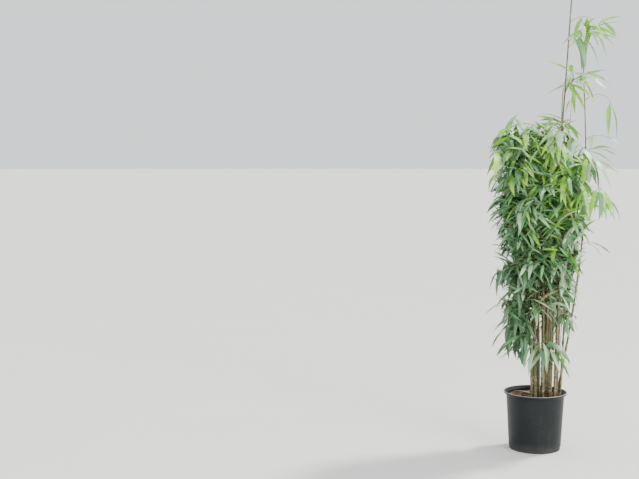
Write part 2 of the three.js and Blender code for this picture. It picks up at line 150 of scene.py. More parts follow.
def addObject(data):
    thing = bpy.data.objects.new(data.name, data)
    bpy.context.scene.collection.objects.link(thing)
    return thing


def toMesh(name, bm):
    mesh = bpy.data.meshes.new(name)
    bm.to_mesh(mesh)
    bm.free()
    return mesh


# a finished mesh becomes one object of the part, at the origin, with its material; the nodes that it stands for are
# hidden
def placePiece(mesh, material, nodes=(), smooth=True):
    mesh.materials.append(material)
    if smooth:
        mesh.shade_smooth()
    piece = addObject(mesh)
    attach(piece, "root")
    if nodes:
        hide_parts(*nodes)


# the growing rule, as in the part's source; every chance is drawn from a seed
clump = Values(
    middle=(49, -5), halfWidth=78, halfDepth=92, canes=25, seed=7, tries=60, looser=1.5, innerLength=1.06,
    outerLess=0.14, leanByPlace=0.75, shift=9, firstShift=4, turn=30)
soilLevel = 275
gap = 0.3
ownCanes = {
    "tall": Values(foot=(36, -58), toward=4, length=2130, lean=3.3, nod=3.2, bend=(0.5, 1), radius=7.2,
                   tipShare=0.35, segments=10),
    "outlying": Values(foot=(112, 24), toward=5, length=1790, lean=9.5, nod=-3, bend=(0.1, 0.9), radius=5.6,
                       tipShare=0.4, segments=10),
    "arching": Values(foot=(-20, -66), toward=-6, length=1215, lean=1.5, nod=38, bend=(0.72, 1.04), radius=6,
                      tipShare=0.55, segments=10),
}
archingEnd = Values(length=290, nod=145, bend=(0, 0.55), tipShare=0.3, segments=7)
ordinaryCane = Values(
    length=(1020, 1390), lean=(-0.4, 2.4), nod=(7, 24), bend=(0.45, 1.1), radius=(4.6, 6.4), tipShare=0.4,
    segments=4)

crown = Values(
    axis=(12, -4),
    heights=(480, 700, 850, 1000, 1150, 1320, 1450, 1560, 1680, 1800),
    reaches=(170, 185, 200, 222, 246, 266, 262, 240, 190, 110),  # how far leaves reach at each height
    levels=((730, 4, -70), (930, 5, -25), (1120, 5, 10), (1300, 5, 46), (1475, 5, 20), (1640, 3, 60)),
    stagger=45,  # every other spray of a level stands lower than the rest; a level: height, sprays, turn
    rootOut=0.5,
    firstSeed=100,
)
spray = Values(
    limb=None, along=None, atTip=False, inCrown=False, stemLength=(110, 210), stemFrom=18, stemTo=58,
    stemRadius=3.4, middle=0.65, hang=35, twigs=3, twigLength=(60, 115), twigSpread=(40, 100), twigFrom=(30, 70),
    twigTo=(50, 105), twigRadius=2.6, firstTwig=0.3, nextTwig=0.22, shorter=0.4, tipShare=0.62, leavesOnStem=7,
    leavesOnTwig=5, leafLength=(150, 235), leafPitch=(-56, 34), spacing=17, tries=90)
sparse = Values(leavesOnStem=6, leavesOnTwig=3, leafLength=(150, 215))
risingTip = Values(
    atTip=True, twigs=2, stemLength=(130, 130), stemFrom=5, stemTo=30, leavesOnStem=5, leavesOnTwig=3,
    leafLength=(150, 215), leafPitch=(-62, 30))
hangingTip = Values(
    stemLength=(70, 70), stemFrom=148, stemTo=152, twigs=1, twigLength=(50, 70), twigFrom=(80, 100),
    twigTo=(110, 130), leafLength=(140, 190), leafPitch=(-84, -56))
blade = Values(
    widthShare=0.24, thicknessShare=0.012, widest=0.4, fold=0.016, arch=(0.07, 0.15), fan=(30, 120), endFan=20,
    roll=50, along=0.8, fromTip=0.6, shorter=0.3, apart=8, rootStretch=34)
clearOf = Values(limbs=2.6, space=3, lowest=312, step=8)
goldenTurn = 137.508


def between(limits, share):
    return limits[0] + (limits[1] - limits[0]) * share


# draws in a row from one seed: a share or a value between limits, or one to either side of nothing
class Chance:
    def __init__(self, seed):
        self.state = seed

    def __call__(self, limits=(0, 1)):
        most = 0xFFFFFFFF
        self.state = state = (self.state + 0x6D2B79F5) & most
        mixed = ((state ^ (state >> 15)) * (1 | state)) & most
        mixed = ((mixed + (mixed ^ (mixed >> 7)) * (61 | mixed)) ^ mixed) & most
        return between(limits, (mixed ^ (mixed >> 14)) / 4294967296)

    def off(self, width):
        return (self() - 0.5) * width


def ease(share):
    held = min(1, max(0, share))
    return held * held * (3 - 2 * held)


def around(middle, turn, out):
    return middle[0] + out * cos(turn), middle[1] + out * sin(turn)


def inClump(out, turn):
    x, y = clump.middle
    return x + clump.halfWidth * out * cos(turn), y + clump.halfDepth * out * sin(turn)


# a rod leaves its start at one lean and nods over to another between the two shares of the bend
def grow(start, toward, length, lean, nod, radius, tipShare, segments=3, bend=(0, 1), **own):
    azimuth, step = toward * degrees, length / segments
    points = [np.array(start, float)]
    for i in range(segments):
        angle = (lean + (nod - lean) * ease(((i + 0.5) / segments - bend[0]) / (bend[1] - bend[0]))) * degrees
        sideways = step * sin(angle)
        points.append(points[i] + (sideways * cos(azimuth), sideways * sin(azimuth), step * cos(angle)))
    return Rod(np.array(points), toward, radius, tipShare, **own)


# the points of a cane, stem or twig, and places every few millimetres along it with its radius there
class Rod:
    def __init__(self, points, toward, radius=1, tipShare=1, **own):
        self.points, self.toward, self.radius, self.tipShare = points, toward, radius, tipShare
        self.level = (-sin(toward * degrees), cos(toward * degrees), 0)
        self.segments = len(points) - 1
        self.length = norm(points[1] - points[0]) * self.segments
        places, radii = [], []
        for i in range(self.segments):
            count = ceil(norm(points[i + 1] - points[i]) / clearOf.step)
            shares = np.arange(count + 1) / count
            places.append(points[i] + (points[i + 1] - points[i]) * shares[:, None])
            radii.append(radius * (1 - (1 - tipShare) * ((i + shares) / self.segments)))
        self.places, self.radii = np.concatenate(places), np.concatenate(radii)
        vars(self).update(own)

    def at(self, share):
        along = share * self.segments
        i = min(int(along), self.segments - 1)
        return self.points[i] + (self.points[i + 1] - self.points[i]) * (along - i)

    def atHeight(self, height):
        above = np.nonzero(self.points[:, 2] > height)[0]
        if not len(above) or above[0] < 1:
            return None
        low, high = self.points[above[0] - 1], self.points[above[0]]
        return low + (high - low) * ((height - low[2]) / (high[2] - low[2]))

    def radiusAt(self, distance):
        return self.radius * (1 - (1 - self.tipShare) * min(1, distance / self.length))

    # the place and direction at a distance along, on a smooth curve through the points
    def curveAt(self, distance):
        points, last = self.points, self.segments
        along = min(max(distance / self.length, 0), 1) * last
        i = min(int(along), last - 1)
        t = along - i
        p1, p2 = points[i], points[i + 1]
        p0 = points[i - 1] if i else 2 * p1 - p2
        p3 = points[i + 2] if i + 2 <= last else 2 * p2 - p1
        a, b = 2 * p0 - 5 * p1 + 4 * p2 - p3, 3 * p1 - p0 - 3 * p2 + p3
        slope = 0.5 * (p2 - p0 + 2 * a * t + 3 * b * t**2)
        return 0.5 * (2 * p1 + (p2 - p0) * t + a * t**2 + b * t**3), slope / norm(slope)


def together(rods):
    return np.concatenate([rod.places for rod in rods]), np.concatenate([rod.radii for rod in rods])


def touching(rod, others, margin):
    places, radii = others
    apart = norm(rod.places[:, None] - places[None], axis=2)
    return (apart < rod.radii[:, None] + radii[None] + margin).any()


def makeCane(name, foot, **values):
    return grow((*foot, soilLevel + gap), name="cane_" + name, **values)


def makeCanes():
    random = Chance(clump.seed)
    canes = [makeCane(name, **values) for name, values in ownCanes.items()]
    rest = clump.canes - len(canes)
    for i in range(rest):
        out, turn = sqrt((i + 0.5) / rest), i * goldenTurn * degrees
        byPlace = clump.leanByPlace
        values = Values(ordinaryCane,
                        length=random(ordinaryCane.length) * (clump.innerLength - clump.outerLess * out),
                        lean=between(ordinaryCane.lean, out * byPlace + random() * (1 - byPlace)),
                        nod=random(ordinaryCane.nod), radius=random(ordinaryCane.radius))
        for attempt in range(clump.tries):
            shift = clump["shift" if attempt else "firstShift"]
            foot = [place + random.off(shift) for place in inClump(out, turn)]
            values.update(foot=foot, toward=turn / degrees + random.off(clump.turn + attempt * 2))
            cane = makeCane(f"{len(canes) - len(ownCanes) + 1:02}", **values)
            if not touching(cane, together(canes), 2 * gap + 2):
                canes.append(cane)
                break
    return canes


def makeArchingEnd(cane):
    along = cane.points[-1] - cane.points[-2]
    along /= norm(along)
    return grow(cane.points[-1] + along * 2 * gap, cane.toward, lean=acos(along[2]) / degrees + 4,
                radius=cane.radius * cane.tipShare, name="cane_arching_end", **archingEnd)


def crownReach(height):
    return np.interp(height, crown.heights, crown.reaches)


def insideOutline(points, slack=0):
    out = np.hypot(points[:, 0] - crown.axis[0], points[:, 1] - crown.axis[1])
    return ((points[:, 2] < crown.heights[-1]) & (out < crownReach(points[:, 2]) + slack)).all()


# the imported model's box, let out by the share that foliage may stand proud of it, less a little
proud, less = 0.03, 3
boxLow = np.array([low / mm - proud * (high - low) / mm + less for low, high in zip(*cadBox)])
boxHigh = np.array([high / mm + proud * (high - low) / mm - less for low, high in zip(*cadBox)])


def insideBox(points):
    return ((points > boxLow) & (points < boxHigh)).all()


canes = makeCanes()
tall, outlying, arching = canes[:3]
hangingEnd = makeArchingEnd(arching)
limbs = [*canes, hangingEnd]
print("canes placed:", len(canes))

ownSprays = {
    "low_front": Values(sparse, height=500, azimuth=-62, stemLength=(110, 110), stemTo=85, leafPitch=(-82, -34)),
    "tall_side": Values(sparse, limb=tall, height=1900, azimuth=-12),
    "tall_tip": Values(risingTip, limb=tall, azimuth=200),
    "outlying_tip": Values(risingTip, limb=outlying, azimuth=-20),
    "arching_side": Values(hangingTip, limb=hangingEnd, along=0.5, azimuth=20, stemFrom=70),
    "arching_tip": Values(hangingTip, limb=hangingEnd, atTip=True, azimuth=-6),
}


def planSprays():
    plans = []
    for height, sprays, turn in crown.levels:
        for i in range(sprays):
            plans.append(Values(spray, name=f"foliage_{len(plans) + 1:02}", inCrown=True,
                                height=height + crown.stagger * (-1 if i % 2 else 1),
                                azimuth=turn + 360 * i / sprays))
    return plans + [Values(spray, **habit, name="foliage_" + name) for name, habit in ownSprays.items()]


def nearestCane(*wanted):
    found = [(cane, cane.atHeight(wanted[2])) for cane in canes]
    return min((pair for pair in found if pair[1] is not None), key=lambda pair: norm(pair[1] - wanted))


# the limb that a spray grows from, and the place on it
def holdOf(plan, loose, random):
    limb = plan.limb
    if plan.atTip:
        return limb, limb.points[-1]
    if plan.along:
        return limb, limb.at(plan.along)
    mean = (plan.stemFrom + plan.stemTo) / 2 * degrees
    below = plan.middle * plan.stemLength[1] * cos(mean)
    height = plan.height + plan.hang - below + random.off(loose)
    if limb:
        return limb, limb.atHeight(height)
    foot = around(crown.axis, plan.azimuth * degrees, crown.rootOut * crownReach(height))
    return nearestCane(*[place + random.off(loose) for place in foot], height)


def placeStem(plan, others, random):
    for attempt in range(plan.tries):
        loose = attempt * clump.looser
        limb, start = holdOf(plan, loose, random)
        free = crownReach(start[2]) - hypot(start[0] - crown.axis[0], start[1] - crown.axis[1])
        shortest, longest = plan.stemLength
        toward = plan.azimuth + random.off(loose)
        stem = grow(start, toward, min(longest, max(shortest, free)), plan.stemFrom, plan.stemTo,
                    limb.radius * limb.tipShare if plan.atTip else plan.stemRadius, plan.tipShare, plan=plan)
        if not touching(stem, together([other for other in others if other is not limb]), clearOf.limbs):
            return stem


# a spray keeps to its own half of the way to each other spray's middle, and clear of the pot
def spaceOf(stem, others):
    toOther = np.array([other.middle for other in others]) - stem.middle
    length = norm(toOther, axis=1)
    normals, edges = toOther / length[:, None], length / 2 - clearOf.space

    def inside(points, slack=0):
        clear = (points[:, 2] >= clearOf.lowest).all()
        return clear and ((points - stem.middle) @ normals.T < edges + slack).all()

    return inside


crossCorners = [(x, y, z) for x in (-1, 1) for y in (-1, 1) for z in (-1, 1)]
spotShares = [(share, across) for share in (0.35, 0.55, 0.75, 0.97) for across in (-0.8, 0, 0.8)]


def makeBlade(root, azimuth, pitch, length, arch, roll):
    forward = np.array((cos(pitch) * cos(azimuth), cos(pitch) * sin(azimuth), sin(pitch)))
    level = np.array((-sin(azimuth), cos(azimuth), 0))
    side = -(level * cos(roll) + np.cross(forward, level) * sin(roll))
    up = np.cross(side, forward)
    halfWidth, halfThickness = length * blade.widthShare / 2, length * blade.thicknessShare / 2
    widest = blade.widest
    middle = root + forward * widest * length + up * arch * length
    edge = {x: middle + side * x * halfWidth - up * blade.fold * length for x in (-1, 1)}
    face = {z: middle + up * z * halfThickness for z in (-1, 1)}
    end = {-1: root, 1: root + forward * length}
    triangles = np.array([(edge[x], end[y], face[z]) for x, y, z in crossCorners])
    spots = []
    for share, across in spotShares:
        full = share / widest if share < widest else (1 - share) / (1 - widest)
        spots.append(root + forward * share * length + side * across * halfWidth * full + up * arch * length * full)
    return Values(root=root, forward=forward, side=side, up=up, length=length, arch=arch,
                  triangles=triangles, corners=triangles.reshape(-1, 3), spots=np.array(spots))


# the least distance from each point to any of the triangles
def distanceToFaces(points, triangles):
    first = triangles[:, 0]
    across = np.cross(triangles[:, 1] - first, triangles[:, 2] - first)
    across /= norm(across, axis=1)[:, None]
    height = ((points[:, None] - first) * across).sum(axis=2)
    inside, best = np.ones(height.shape, bool), np.full(height.shape, np.inf)
    for i in range(3):
        start = triangles[:, i]
        edge = triangles[:, (i + 1) % 3] - start
        offset = points[:, None] - start
        along = np.clip((offset * edge).sum(axis=2) / (edge * edge).sum(axis=1), 0, 1)
        best = np.minimum(best, norm(offset - along[..., None] * edge, axis=2))
        inside &= (offset * np.cross(across, edge)).sum(axis=2) >= 0
    return np.where(inside, np.abs(height), best).min(axis=1)


def bladeTouches(one, places, radii):
    corners = one.corners
    centre = (corners.min(axis=0) + corners.max(axis=0)) / 2
    ball = norm(corners - centre, axis=1).max()
    reach = radii + clearOf.limbs
    close = norm(places - centre, axis=1) - ball < reach
    return close.any() and (distanceToFaces(places[close], one.triangles) < reach[close]).any()


def bladesMeet(one, others, apart):
    if not others:
        return False
    spots = np.concatenate([other.spots for other in others])
    return (norm(one.spots[:, None] - spots[None], axis=2) < apart).any()


def makeTwigs(stem, random, fits):
    plan, twigs = stem.plan, []
    for i in range(plan.twigs):
        start = stem.at(plan.firstTwig + plan.nextTwig * i)
        for attempt in range(plan.tries):
            shorter = 1 - plan.shorter * (attempt / plan.tries)
            toward = stem.toward + (1 if i % 2 else -1) * random(plan.twigSpread)
            twig = grow(start, toward, random(plan.twigLength) * shorter, random(plan.twigFrom),
                        random(plan.twigTo), plan.twigRadius, plan.tipShare, 2)
            if fits(twig):
                twigs.append(twig)
                break
    return twigs


# leaves from the tip of a rod down, to either side by turns
def makeLeaves(rod, habit, random, fits):
    leaves = []
    for i in range(min(habit.leaves, int(blade.along * rod.length / habit.spacing))):
        root = rod.at(1 - habit.spacing * (i + blade.fromTip) / rod.length)
        for attempt in range(habit.tries):
            fan = (1 if i % 2 else -1) * random(blade.fan) if i else random.off(blade.endFan)
            less = 1 - blade.shorter * (attempt / habit.tries)
            pitch = between(habit.leafPitch, random() * less) * degrees
            leaf = makeBlade(root, (rod.toward + fan) * degrees, pitch, random(habit.leafLength) * less,
                             random(blade.arch), random.off(blade.roll) * degrees)
            if fits(leaf):
                leaves.append(leaf)
                break
    return leaves


def growSpray(stem, others, seed):
    random, plan = Chance(seed), stem.plan
    stem.inside, stem.near = spaceOf(stem, others), together(limbs + others)

    def within(points):
        return stem.inside(points) and (not plan.inCrown or insideOutline(points))

    def twigFits(twig):
        return within(twig.points) and not touching(twig, stem.near, clearOf.limbs)

    def leafFits(leaf):
        beyond = norm(places - leaf.root, axis=1) > blade.rootStretch
        return (within(leaf.corners) and not bladesMeet(leaf, leaves, blade.apart)
                and not bladeTouches(leaf, *stem.near) and not bladeTouches(leaf, places[beyond], radii[beyond]))

    stem.twigs = makeTwigs(stem, random, twigFits)
    places, radii = together([stem, *stem.twigs])
    leaves = []
    for rod in (stem, *stem.twigs):
        habit = Values(plan, leaves=plan["leavesOnStem" if rod is stem else "leavesOnTwig"])
        leaves += makeLeaves(rod, habit, random, leafFits)
    stem.leaves = [leaf for leaf in leaves if insideBox(leaf.corners)]


stems = []
stemRandom = Chance(clump.seed + 1)
for plan in planSprays():
    stem = placeStem(plan, limbs + stems, stemRandom)
    if stem:
        stem.middle = stem.at(plan.middle) - (0, 0, plan.hang)
        stems.append(stem)
for i, stem in enumerate(stems):
    growSpray(stem, [other for other in stems if other is not stem], crown.firstSeed + i)
print("sprays grown:", len(stems), "with", sum(len(stem.leaves) for stem in stems), "large leaves")

# the same rule carried on to finer twigs, which may reach a little into the neighbours' space
finer = Values(
    seed=500, twigs=8, root=0.15, overRoot=0.8,
    twigsOnOwnPlaces=2,  # on the sprays outside the crown, which the photo shows sparse
    length=(60, 150), lean=(20, 85), nod=(45, 110), shorter=0.5, spread=300, segments=3, radius=1.5,
    tipShare=0.6, leafLength=(105, 185), leafPitch=(-55, 50), leaves=6, spacing=13, apart=4,
    tries=26, offLimbs=1, intoNeighbours=40, outlineSlack=24,
    fallX=(-110, 270), fallZ=(1810, 1440),  # the crown falls away to the right: no finer growth above this line
)


def aboveFall(points):
    return (points[:, 2] > np.interp(points[:, 0], finer.fallX, finer.fallZ)).any()


# one try at a loose twig, which gets shorter from try to try
def tryTwig(start, toward, habit, attempt, random):
    length = random(habit.length) * (1 - habit.shorter * attempt / habit.tries)
    toward += random.off(habit.spread)
    return grow(start, toward, length, random(habit.lean), random(habit.nod), habit.radius, habit.tipShare,
                habit.segments)


def growFiner(stem, seed):
    random = Chance(seed)
    inCrown = stem.plan.inCrown
    habit = finer if inCrown else Values(finer, leafPitch=stem.plan.leafPitch)
    rods = [stem, *stem.twigs]
    stem.finerTwigs, stem.finerLeaves = [], []

    def within(points):
        return stem.inside(points, finer.intoNeighbours) and insideBox(points) and (
            not inCrown or (insideOutline(points, finer.outlineSlack) and not aboveFall(points)))

    def fits(leaf):
        return (within(leaf.corners) and not bladeTouches(leaf, *stem.near)
                and not bladesMeet(leaf, stem.leaves + stem.finerLeaves, finer.apart))

    for i in range(finer["twigs" if inCrown else "twigsOnOwnPlaces"]):
        rod = rods[int(random() * len(rods))]
        start = rod.at(finer.root + finer.overRoot * random())
        for attempt in range(finer.tries):
            twig = tryTwig(start, rod.toward, finer, attempt, random)
            if within(twig.points) and not touching(twig, stem.near, finer.offLimbs):
                stem.finerTwigs.append(twig)
                break
    for twig in stem.finerTwigs:
        stem.finerLeaves += makeLeaves(twig, habit, random, fits)


for i, stem in enumerate(stems):
    growFiner(stem, finer.seed + i)
print("finer leaves:", sum(len(stem.finerLeaves) for stem in stems))


# side twigs straight from the canes, which fill the crown between the sprays
side = Values(
    seed=700, twigs=380, tries=14,
    heights=(520, 1690), out=0.75,
    bare=((250, 320, 800), (-40, 70, 640)),  # azimuths between which no leaves hang under a height
    length=(110, 300), lean=(25, 60), nod=(60, 120), shorter=0.5, spread=100, segments=4, radius=1.7,
    tipShare=0.5, leaves=8, spacing=17, leafLength=(75, 165), leafPitch=(-50, 55),
    slack=(-55, 55),  # how far a twig's leaves stay within or reach beyond the crown's outline
)


def hangsTooLow(points):
    turn = np.degrees(np.arctan2(points[:, 1] - crown.axis[1], points[:, 0] - crown.axis[0]))
    return any((((turn - start) % 360 < end - start) & (points[:, 2] < lowest)).any()
               for start, end, lowest in side.bare)


def growSideTwigs():
    random = Chance(side.seed)
    twigs, leaves = [], []

    def within(points, slack):
        return (insideOutline(points, slack) and insideBox(points)
                and not hangsTooLow(points) and not aboveFall(points))

    for i in range(side.twigs):
        azimuth = i * goldenTurn
        slack = random(side.slack)
        for attempt in range(side.tries):
            height = random(side.heights)
            out = crownReach(height) * random() * side.out
            cane, start = nearestCane(*around(crown.axis, azimuth * degrees, out), height)
            twig = tryTwig(start, azimuth, side, attempt, random)
            if within(twig.points, min(slack, 0)):
                twigs.append(twig)
                leaves += makeLeaves(twig, side, random, lambda leaf: within(leaf.corners, slack))
                break
    return twigs, leaves


sideTwigs, sideLeaves = growSideTwigs()
print("side twigs:", len(sideTwigs), "with", len(sideLeaves), "leaves")

# every crown cane ends in a tuft of its own
tuft = Values(seed=900, rodLength=95, leaves=5, spacing=18, leafPitch=(-50, 55), leafLength=(120, 195), tries=20)


def growTufts():
    random, grown = Chance(tuft.seed), []
    for cane in canes[len(ownCanes):]:
        rod = Rod(np.array([cane.at(1 - tuft.rodLength / cane.length), cane.points[-1]]), cane.toward)
        others = together([limb for limb in limbs if limb is not cane])
        grown += makeLeaves(rod, tuft, random, lambda leaf: (
            insideOutline(leaf.corners, finer.outlineSlack) and not bladeTouches(leaf, *others)))
    return grown


tuftLeaves = growTufts()
print("tuft leaves:", len(tuftLeaves))

# long twigs that arch over the crown and single ones on the outer canes, each where the photo shows it
reaching = Values(
    seed=960, radius=1.6, tipShare=0.5, spacing=24, tries=40, segment=60,
    long=300, longBend=(0, 0.78),
    twigs=(
        # start x, y, z, azimuth, length, lean, nod, leaves, their pitch and length, their colour with its painted
        # light, radius if its own
        (-80, -70, 1500, -14, 520, 18, 140, 13, (-60, -22), (150, 215), "pale"),
        (40, -110, 1330, -30, 340, 25, 135, 9, (-66, -25), (140, 200), "bright"),
        (-60, -90, 1440, 214, 260, 20, 118, 8, (-58, 0), (140, 200), "bright"),
        (-30, 60, 1500, 120, 280, 20, 120, 8, (-58, 0), (140, 200), "bright"),
        (232, 24, 1600, -10, 70, 50, 95, 3, (-42, 0), (140, 170), "pale"),
        (236, 24, 1535, -40, 60, 50, 90, 2, (-20, 5), (150, 175), "green"),
        (238, 24, 1455, 6, 75, 45, 95, 3, (-45, -5), (130, 160), "pale"),
        (225, 24, 1240, 18, 60, 45, 95, 2, (-45, 0), (120, 150), "green"),
        (210, 24, 1060, -8, 45, 50, 85, 2, (-38, -14), (125, 145), "deep"),
        (232, 24, 1800, -6, 190, 52, 165, 2, (-88, -72), (168, 185), "bright"),
        (228, 24, 2090, -14, 90, 50, 115, 4, (-85, -58), (150, 185), "green"),
        (150, -56, 2185, -20, 130, 58, 120, 4, (-80, -50), (150, 185), "bright"),
        (-10, -60, 640, 205, 170, 35, 105, 8, (-78, -20), (105, 155), "deep"),
        (-20, -70, 760, 212, 180, 35, 100, 9, (-70, -5), (105, 155), "deep"),
        (-20, 0, 860, 190, 190, 35, 100, 9, (-70, 0), (105, 155), "deep"),
        (-10, -40, 700, 186, 190, 35, 110, 9, (-78, -20), (105, 155), "deep"),
        (-10, 20, 690, 170, 180, 35, 100, 8, (-78, -20), (105, 155), "green"),
        (0, -70, 560, 222, 140, 40, 100, 7, (-76, -16), (100, 145), "deep"),
        (-20, -20, 580, 188, 150, 40, 105, 8, (-76, -16), (100, 150), "green"),
        (-10, 60, 620, 150, 150, 40, 105, 7, (-76, -16), (100, 145), "deep"),
        (130, -58, 1500, 170, 360, 4, -2, 0, (0, 0), (100, 100), "green", 4.4),
        (140, -58, 2190, 20, 230, 6, 1, 0, (0, 0), (100, 100), "green", 1.5),
        (150, -20, 1480, 0, 385, 13, 3, 3, (-74, -46), (95, 130), "bright", 2.0),
        (-20, -50, 500, 205, 130, 45, 110, 7, (-78, -22), (100, 145), "deep"),
        (-20, 10, 520, 176, 150, 45, 108, 8, (-78, -22), (100, 145), "deep"),
        (-10, 30, 600, 196, 190, 40, 105, 8, (-76, -12), (100, 150), "deep"),
        (-20, -80, 900, 220, 170, 35, 100, 8, (-70, 0), (105, 155), "deep"),
    ),
)


def growReaching():
    random, near = Chance(reaching.seed), together(limbs)
    twigs, leaves = [], []

    def fits(leaf):
        return insideBox(leaf.corners) and not bladeTouches(leaf, *near)

    for x, y, z, azimuth, length, lean, nod, most, pitch, leafLength, kind, *radius in reaching.twigs:
        cane, start = nearestCane(x, y, z)
        bend = reaching.longBend if length > reaching.long else (0, 1)
        twig = grow(start, azimuth, length, lean, nod, *(radius or [reaching.radius]), reaching.tipShare,
                    max(3, length // reaching.segment), bend)
        twigs.append(twig)
        habit = Values(reaching, leaves=most, leafPitch=pitch, leafLength=leafLength,
                       spacing=min(reaching.spacing, 0.8 * twig.length / (most + 0.5)))
        leaves += [Values(leaf, kind=kind + "Leaves") for leaf in makeLeaves(twig, habit, random, fits)]
    return twigs, leaves


reachingTwigs, reachingLeaves = growReaching()
print("reaching twigs:", len(reachingTwigs), "with", len(reachingLeaves), "leaves")

# thin bare shoots from the soil, which stand between the canes and end inside the crown
shoot = Values(
    seed=980, count=26, length=(380, 640), lean=(-1, 3.5), nod=(1, 8), bend=(0.3, 1), radius=(1.7, 2.9),
    tipShare=0.6, tries=40, apart=1.2, within=0.92, sunk=2)


def growShoots():
    random, grown = Chance(shoot.seed), []
    for i in range(shoot.count):
        for attempt in range(shoot.tries):
            out, turn = shoot.within * sqrt(random()), 2 * pi * random()
            rod = grow((*inClump(out, turn), soilLevel - shoot.sunk), turn / degrees, random(shoot.length),
                       between(shoot.lean, out), random(shoot.nod), random(shoot.radius), shoot.tipShare,
                       6, shoot.bend)
            if not touching(rod, together(limbs + grown), shoot.apart):
                grown.append(rod)
                break
    return grown


shoots = growShoots()
print("shoots:", len(shoots))


# one ring of a tube: its place and direction, radius, slant and turn of the slant, and marks
def stepAt(rod, distance, radius, tilt=None, **marks):
    return *rod.curveAt(distance), radius, tilt, marks


# a tube grown ring by ring from one circle
def growTube(rod, steps, sides, capped=True):
    bm = bmesh.new()
    layers = {mark: bm.verts.layers.float.new(mark) for mark in steps[0][-1]}
    before, edges = None, []
    for place, along, radius, tilt, marks in steps:
        along, x = Vector(along).normalized(), Vector(rod.level)
        ring = Matrix((x, along.cross(x), along)).transposed().to_4x4()
        if tilt:
            ring = ring @ Matrix.Rotation(tilt[1], 4, "Z") @ Matrix.Rotation(tilt[0], 4, "X")
        ring = Matrix.Translation(Vector(place) * mm) @ ring @ Matrix.Scale(radius * mm, 4)
        if before is None:
            made = bmesh.ops.create_circle(bm, cap_ends=capped, segments=sides, radius=1, matrix=ring)
            verts, edges = made["verts"], list(bm.edges)
        else:
            made = bmesh.ops.extrude_edge_only(bm, edges=edges)["geom"]
            verts = [item for item in made if isinstance(item, bmesh.types.BMVert)]
            fresh = set(verts)
            edges = [item for item in made if isinstance(item, bmesh.types.BMEdge) and set(item.verts) <= fresh]
            bmesh.ops.transform(bm, matrix=ring @ before.inverted(), verts=verts)
        for mark, layer in layers.items():
            for vert in verts:
                vert[layer] = marks[mark]
        before = ring
    if capped:
        bmesh.ops.contextual_create(bm, geom=edges)
    bmesh.ops.recalc_face_normals(bm, faces=bm.faces)
    return bm


def joinInto(whole, part):
    carried = toMesh("carried", part)
    whole.from_mesh(carried)
    bpy.data.meshes.remove(carried)


jointing = Values(
    seed=40,
    ends=12,  # joints stay this far from the tip
    first=45, longest=175, growth=22,  # distances between joints, from the foot up
    shrink=0.9, shrinkFrom=0.66,  # of the distances, over the top third
    # the rings at a joint: how far from it, how wide, how deep in the groove, how much bloom
    rings=((-9, 1, 0, 0.15), (-4, 0.99, 0, 1), (-1.6, 0.94, 1, 0.6), (0, 1.17, 0.25, 0), (2.2, 1.07, 0, 0),
           (7, 1, 0, 0)),
    plainFrom=35, plainStep=60, plainApart=14,  # the rings between joints, and how far they stay from these
    slim=0.97,  # of the source's radius, which the swollen joints go beyond
    sides=12, sheathSides=14,
    sheathShare=(0.55, 0.96),  # of the distance between two joints that a sheath covers
    sheathRings=(0, 0.03, 0.4, 0.75, 1), slantFrom=0.75, slant=(20, 42),
    sheathMissing=0.22, sheathTight=1.05, sheathLoose=(1.13, 1.32), sheathThickness=0.35,
)


def jointsOf(rod, random):
    joints, distance, stepLength = [], jointing.ends * random(), jointing.first
    while distance < rod.length - jointing.ends:
        joints.append(distance)
        distance += stepLength * (0.85 + 0.3 * random())
        if distance > jointing.shrinkFrom * rod.length:
            stepLength *= jointing.shrink
        else:
            stepLength = min(jointing.longest, stepLength + jointing.growth)
    return joints


def caneSteps(rod, joints, tone):
    rings = [(0, 1, 0, 0), (rod.length, 0.9, 0, 0)]
    rings += [(joint + away, *ring) for joint in joints for away, *ring in jointing.rings]
    rings += [(distance, 1, 0, 0) for distance in np.arange(jointing.plainFrom, rod.length, jointing.plainStep)
              if all(abs(distance - joint) > jointing.plainApart for joint in joints)]
    return [stepAt(rod, distance, rod.radiusAt(distance) * swell * jointing.slim, groove=groove, bloom=bloom,
                   tone=tone) for distance, swell, groove, bloom in sorted(rings) if 0 <= distance <= rod.length]


def sheathSteps(rod, joint, reach, random):
    tone, turn = random(), random() * 2 * pi
    slant, loose = random(jointing.slant) * degrees, random(jointing.sheathLoose)
    steps = []
    for share in jointing.sheathRings:
        wide = jointing.sheathTight + (loose - jointing.sheathTight) * share**2
        tilt = (slant * (share - 0.5) * 2, turn) if share >= jointing.slantFrom else None
        steps.append(stepAt(rod, joint + 1 + reach * share, rod.radiusAt(joint) * wide + 0.3, tilt,
                            tone=tone, run=share))
    return steps


def makeCanePieces():
    random = Chance(jointing.seed)
    wood, sheaths = bmesh.new(), bmesh.new()
    for rod in limbs:
        joints = jointsOf(rod, random)
        joinInto(wood, growTube(rod, caneSteps(rod, joints, random()), jointing.sides))
        for joint, following in zip(joints, joints[1:]):
            if random() < jointing.sheathMissing:
                continue
            reach = (following - joint) * random(jointing.sheathShare)
            sleeve = growTube(rod, sheathSteps(rod, joint, reach, random), jointing.sheathSides, False)
            bmesh.ops.solidify(sleeve, geom=sleeve.faces[:], thickness=jointing.sheathThickness * mm)
            joinInto(sheaths, sleeve)
    return wood, sheaths


